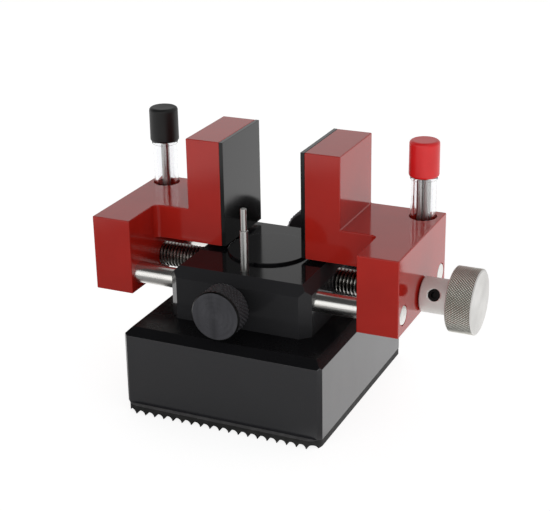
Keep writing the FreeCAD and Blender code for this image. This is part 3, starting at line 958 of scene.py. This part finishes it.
def build_clamp_knob(side, direction):
    """A black clamp knob with a coarse knurl, a plain neck and a black ring of painted shade in the groove
    round its face.
    """
    node = side + "_clamp_knob"
    length = size(node).y
    neck = length - CLAMP_HEAD_LENGTH
    start = middle(node) - direction * length / 2
    outline = [
        (0, CLAMP_BORE_DEPTH, 0), (STUD_RADIUS, CLAMP_BORE_DEPTH, 0), (STUD_RADIUS, 0, BORE_EDGE),
        (CLAMP_NECK_RADIUS, 0, NECK_EDGE), (CLAMP_NECK_RADIUS, neck, NECK_CORNER),
    ]
    mesh = knob_mesh(
        node + "_body", outline, neck, length, high(node).z - axis_z, CLAMP_KNOB,
        axis_matrix(start, direction))
    knob = new_piece(node + "_body", mesh, turned_black, side + "_clamp", node)
    mesh.materials.append(knurl_black)

    def along(polygon):
        """How far a face lies from the start of the knob."""
        return polygon.center.dot(direction) / MM - start.dot(direction)

    paint_faces(knob, black_knurled, lambda polygon: along(polygon) < neck + NECK_FINISH_REACH)
    # The black ring in the groove round the face is painted shade.
    paint_faces(knob, black_oxide, lambda polygon: GROOVE_SHADE_END < length - along(polygon) < GROOVE_SHADE_START)


def build_clamp_stud(side, direction):
    """The threaded stud of a clamp knob."""
    node = side + "_clamp_stud"
    length = size(node).y
    matrix = axis_matrix(middle(node) - direction * length / 2, direction)
    mesh = thread_mesh(
        node + "_body", length, STUD_PITCH, STUD_FORM, STUD_END_RADIUS, 1, matrix, STUD_SEGMENTS)
    new_piece(node + "_body", mesh, screw_steel, side + "_clamp", node)


def build_clamps():
    """The front and the rear clamp knob with their studs."""
    for side, direction in (("front", -Y_AXIS), ("rear", Y_AXIS)):
        build_clamp_knob(side, direction)
        build_clamp_stud(side, direction)


# Jaws and pads

PAD_EDGE = 0.12


def build_jaws():
    """The red jaws with thin black pads whose edges are broken."""
    for side in ("left", "right"):
        body = side + "_jaw"
        smooth_piece(side + "_jaw_body", side + "_jaw", red_anodised, body)
        bevelled_piece(side + "_pad_plate", side + "_pad", PAD_EDGE, pad_plastic, body)


# Pins

PIN_EDGE = 0.2
PIN_STEP_EDGE = 0.05
SUPPORT_PIN_TIP_RADIUS = 1.2
SUPPORT_PIN_FOOT_LENGTH = 36.4
SPARE_PIN_TIP_RADIUS = 1.1
SPARE_PIN_FOOT_LENGTH = 34.0
SLIM_PIN_RADIUS = 1.4


def build_stepped_pin(node, body, tip_radius, foot_length):
    """A round pin with a slimmer tip."""
    radius = size(node).x / 2
    length = size(node).z
    outline = [
        (0, 0, 0), (radius, 0, PIN_EDGE), (radius, foot_length, PIN_EDGE),
        (tip_radius, foot_length, PIN_STEP_EDGE), (tip_radius, length, PIN_EDGE), (0, length, 0),
    ]
    turned_piece(
        node + "_bar", outline, foot(node), Z_AXIS, pin_steel, body, node,
        segments=SLIM_SEGMENTS)


def build_pins():
    """The support pin and the spare pins in the vials."""
    build_stepped_pin("support_pin", "pin", SUPPORT_PIN_TIP_RADIUS, SUPPORT_PIN_FOOT_LENGTH)
    build_stepped_pin("left_spare_pin", "left_pin", SPARE_PIN_TIP_RADIUS, SPARE_PIN_FOOT_LENGTH)
    node = "right_spare_pins"
    length = size(node).z
    offset = size(node).x / 2 - SLIM_PIN_RADIUS
    outline = [
        (0, 0, 0), (SLIM_PIN_RADIUS, 0, PIN_EDGE), (SLIM_PIN_RADIUS, length, PIN_EDGE), (0, length, 0),
    ]
    for name, side in (("first", -1), ("second", 1)):
        turned_piece(
            "right_spare_pin_" + name, outline, foot(node) + X_AXIS * side * offset, Z_AXIS,
            pin_steel, "right_pins", node, segments=SLIM_SEGMENTS)


# Vials

VIAL_RADIUS = 5.0
VIAL_LENGTH = 33.4
VIAL_FOOT_EDGE = 0.8
VIAL_CORNER = 0.2
VIAL_FLANGE_RADIUS = 5.4
VIAL_FLANGE_HEIGHT = 1.2
VIAL_FLANGE_EDGE = 0.35
VIAL_NECK_RADIUS = 4.4
VIAL_NECK_HEIGHT = 8.0
VIAL_MOUTH_EDGE = 0.3
VIAL_BORE_RADIUS = 3.6
VIAL_FLOOR = 1.2
VIAL_FLOOR_CORNER = 0.6

CAP_RADIUS = 5.95
CAP_FOOT_EDGE = 0.85
CAP_TOP_RADIUS = 5.9
CAP_TOP_EDGE = 1.3
CAP_DOME = 0.15
CAP_BORE_RADIUS = 4.5
CAP_BORE_DEPTH = 9.5
CAP_BORE_CORNER = 0.3
CAP_MOUTH_EDGE = 0.15


def build_vial(side):
    """A clear tube with a floor, a flange and a neck for its cap."""
    node = side + "_vial_tube"
    flange = VIAL_LENGTH + VIAL_FLANGE_HEIGHT
    top = flange + VIAL_NECK_HEIGHT
    outline = [
        (0, 0, 0), (VIAL_RADIUS, 0, VIAL_FOOT_EDGE), (VIAL_RADIUS, VIAL_LENGTH, VIAL_CORNER),
        (VIAL_FLANGE_RADIUS, VIAL_LENGTH, VIAL_FLANGE_EDGE), (VIAL_FLANGE_RADIUS, flange, VIAL_FLANGE_EDGE),
        (VIAL_NECK_RADIUS, flange, VIAL_CORNER), (VIAL_NECK_RADIUS, top, VIAL_MOUTH_EDGE),
        (VIAL_BORE_RADIUS, top, VIAL_MOUTH_EDGE), (VIAL_BORE_RADIUS, VIAL_FLOOR, VIAL_FLOOR_CORNER),
        (0, VIAL_FLOOR, 0),
    ]
    turned_piece(
        node + "_body", outline, foot(node), Z_AXIS, clear_plastic, side + "_vial", node)


def build_cap(side, material):
    """A push-on cap with a rounded, slightly domed top."""
    node = side + "_vial_cap"
    length = size(node).z
    outline = [
        (0, CAP_BORE_DEPTH, 0), (CAP_BORE_RADIUS, CAP_BORE_DEPTH, CAP_BORE_CORNER),
        (CAP_BORE_RADIUS, 0, CAP_MOUTH_EDGE), (CAP_RADIUS, 0, CAP_FOOT_EDGE),
        (CAP_TOP_RADIUS, length, CAP_TOP_EDGE), (0, length - CAP_DOME, 0),
    ]
    turned_piece(node + "_body", outline, foot(node), Z_AXIS, material, side + "_cap", node)


def build_vials():
    """Both vials, the left one with a black cap and the right one with a red cap."""
    build_vial("left")
    build_cap("left", black_cap_plastic)
    build_vial("right")
    build_cap("right", red_cap_plastic)


# Camera

IMAGE_WIDTH = 550
FOCAL_PIXELS = 1383.81
SENSOR_WIDTH = 36.0
CAMERA_AZIMUTH = math.radians(24.62)
CAMERA_ELEVATION = math.radians(21.95)
CAMERA_ROLL = math.radians(-1.01)
CAMERA_DISTANCE = 548.26
CAMERA_SIDESTEP = 2.10
CAMERA_HEIGHT = 53.68


def build_camera():
    """The camera at the photograph's angle."""
    flat = math.cos(CAMERA_ELEVATION)
    back = Vector((
        math.sin(CAMERA_AZIMUTH) * flat, -math.cos(CAMERA_AZIMUTH) * flat, math.sin(CAMERA_ELEVATION)))
    right = Vector((math.cos(CAMERA_AZIMUTH), math.sin(CAMERA_AZIMUTH), 0))
    up = back.cross(right)
    rolled_right = right * math.cos(CAMERA_ROLL) + up * math.sin(CAMERA_ROLL)
    rolled_up = up * math.cos(CAMERA_ROLL) - right * math.sin(CAMERA_ROLL)
    target = right * CAMERA_SIDESTEP + Z_AXIS * CAMERA_HEIGHT
    camera = bpy.data.cameras.new("camera")
    camera.sensor_fit = "HORIZONTAL"
    camera.sensor_width = SENSOR_WIDTH
    camera.lens = FOCAL_PIXELS * SENSOR_WIDTH / IMAGE_WIDTH
    camera.clip_start = 0.01
    camera.clip_end = 20.0
    holder = bpy.data.objects.new("camera", camera)
    axes = Matrix((rolled_right, rolled_up, back)).transposed().to_4x4()
    holder.matrix_world = Matrix.Translation((target + back * CAMERA_DISTANCE) * MM) @ axes
    bpy.context.scene.collection.objects.link(holder)
    bpy.context.scene.camera = holder


# Room and floor

# The room is bright low down behind the object, dim overhead, and darkest where a black flag hangs.
ROOM_FRONT = 0.42
ROOM_BEHIND = 0.8
ROOM_OVERHEAD = 0.55
FLAG_WAY = (-0.386, -0.373, 0.842)
FLAG_SHADE = 0.1

# Where each part of the room fades in, as shares of the way behind, up and towards the flag
BEHIND_ENDS = (-0.1, 0.55)
OVERHEAD_ENDS = (0.42, 0.8)
FLAG_ENDS = (0.72, 0.88)

FLOOR_HALF = 3.0
FLOOR_COLOUR = (0.4, 0.4, 0.4)
FLOOR_DIM = 0.1
FLOOR_BRIGHT = 0.95
FLOOR_SEEN = 0.84

# Each dim patch of the floor: its middle, and the radii that it is dim to and ends at, in metres
DIM_PATCHES = [((-0.04, -0.15, 0.0), (0.11, 0.15)), ((0.08, -0.068, 0.0), (0.034, 0.046))]


def seen_directly(tree):
    """1 for the camera's own rays and those that pass through clear plastic, else 0."""
    path = tree.nodes.new("ShaderNodeLightPath")
    return calculated(
        tree, "MAXIMUM", path.outputs["Is Camera Ray"], path.outputs["Is Transmission Ray"])


def build_world():
    """A soft room with a bright backdrop."""
    world = bpy.data.worlds.new("studio")
    world.use_nodes = True
    tree = world.node_tree
    background = tree.nodes["Background"]
    background.inputs["Color"].default_value = WHITE
    way = tree.nodes.new("ShaderNodeTexCoord").outputs["Generated"]
    split = tree.nodes.new("ShaderNodeSeparateXYZ")
    tree.links.new(way, split.inputs[0])
    behind = smooth_step(tree, split.outputs["Y"], BEHIND_ENDS)
    overhead = smooth_step(tree, split.outputs["Z"], OVERHEAD_ENDS)
    flag = smooth_step(tree, vector_value(tree, "DOT_PRODUCT", way, FLAG_WAY), FLAG_ENDS)
    around = chosen(tree, behind, ROOM_FRONT, ROOM_BEHIND)
    room = chosen(tree, overhead, around, ROOM_OVERHEAD)
    shade = chosen(tree, flag, 1.0, FLAG_SHADE)
    mirrored = calculated(tree, "MULTIPLY", room, shade)
    strength = chosen(tree, seen_directly(tree), mirrored, 1.0)
    tree.links.new(strength, background.inputs["Strength"])
    bpy.context.scene.world = world


def build_floor():
    """A pale, softly glowing floor with dim patches in front, which keeps the object's shadow."""
    mesh = bpy.data.meshes.new("floor")
    corners = [
        (-FLOOR_HALF, -FLOOR_HALF, 0), (FLOOR_HALF, -FLOOR_HALF, 0),
        (FLOOR_HALF, FLOOR_HALF, 0), (-FLOOR_HALF, FLOOR_HALF, 0),
    ]
    mesh.from_pydata(corners, [], [(0, 1, 2, 3)])
    floor = bpy.data.objects.new("floor", mesh)
    bpy.context.scene.collection.objects.link(floor)
    material, tree, shader, place = new_material("floor")
    set_shader(shader, Roughness=0.9, Specular_IOR_Level=0.0, Emission_Color=WHITE)
    cloud = noise(tree, place, scale=3.0, detail=2.0)
    colour = blended(tree, cloud, darker(FLOOR_COLOUR, 0.98), FLOOR_COLOUR)
    tree.links.new(colour, shader.inputs["Base Color"])
    glow = FLOOR_BRIGHT
    for centre, ends in DIM_PATCHES:
        distance = vector_value(tree, "DISTANCE", place, centre)
        glow = chosen(tree, smooth_step(tree, distance, ends), FLOOR_DIM, glow)
    strength = chosen(tree, seen_directly(tree), glow, FLOOR_SEEN)
    tree.links.new(strength, shader.inputs["Emission Strength"])
    mesh.materials.append(material)


# Lamps

LAMP_TARGET = Vector((0.0, 0.0, 0.05))


def soft_lamp(name, place, size_across, power):
    """A square lamp that points at the object. Its place and size are in metres."""
    light = bpy.data.lights.new(name, "AREA")
    light.shape = "SQUARE"
    light.size = size_across
    light.energy = power
    lamp = bpy.data.objects.new(name, light)
    lamp.location = place
    lamp.rotation_euler = (LAMP_TARGET - Vector(place)).to_track_quat("-Z", "Y").to_euler()
    lamp.visible_camera = False
    bpy.context.scene.collection.objects.link(lamp)


def build_light():
    """A large soft lamp in front and a low one on the left, which the rods and the hub mirror."""
    soft_lamp("front_lamp", place=(0.4, -1.3, 0.5), size_across=1.4, power=5.0)
    soft_lamp("left_lamp", place=(-0.55, -1.15, 0.45), size_across=0.8, power=1.9)


build_blocks()
build_rods()
build_lead_screw()
build_hand_knob()
build_clamps()
build_jaws()
build_pins()
build_vials()
build_camera()
build_world()
build_floor()
build_light()
bpy.context.scene.view_settings.view_transform = "Standard"
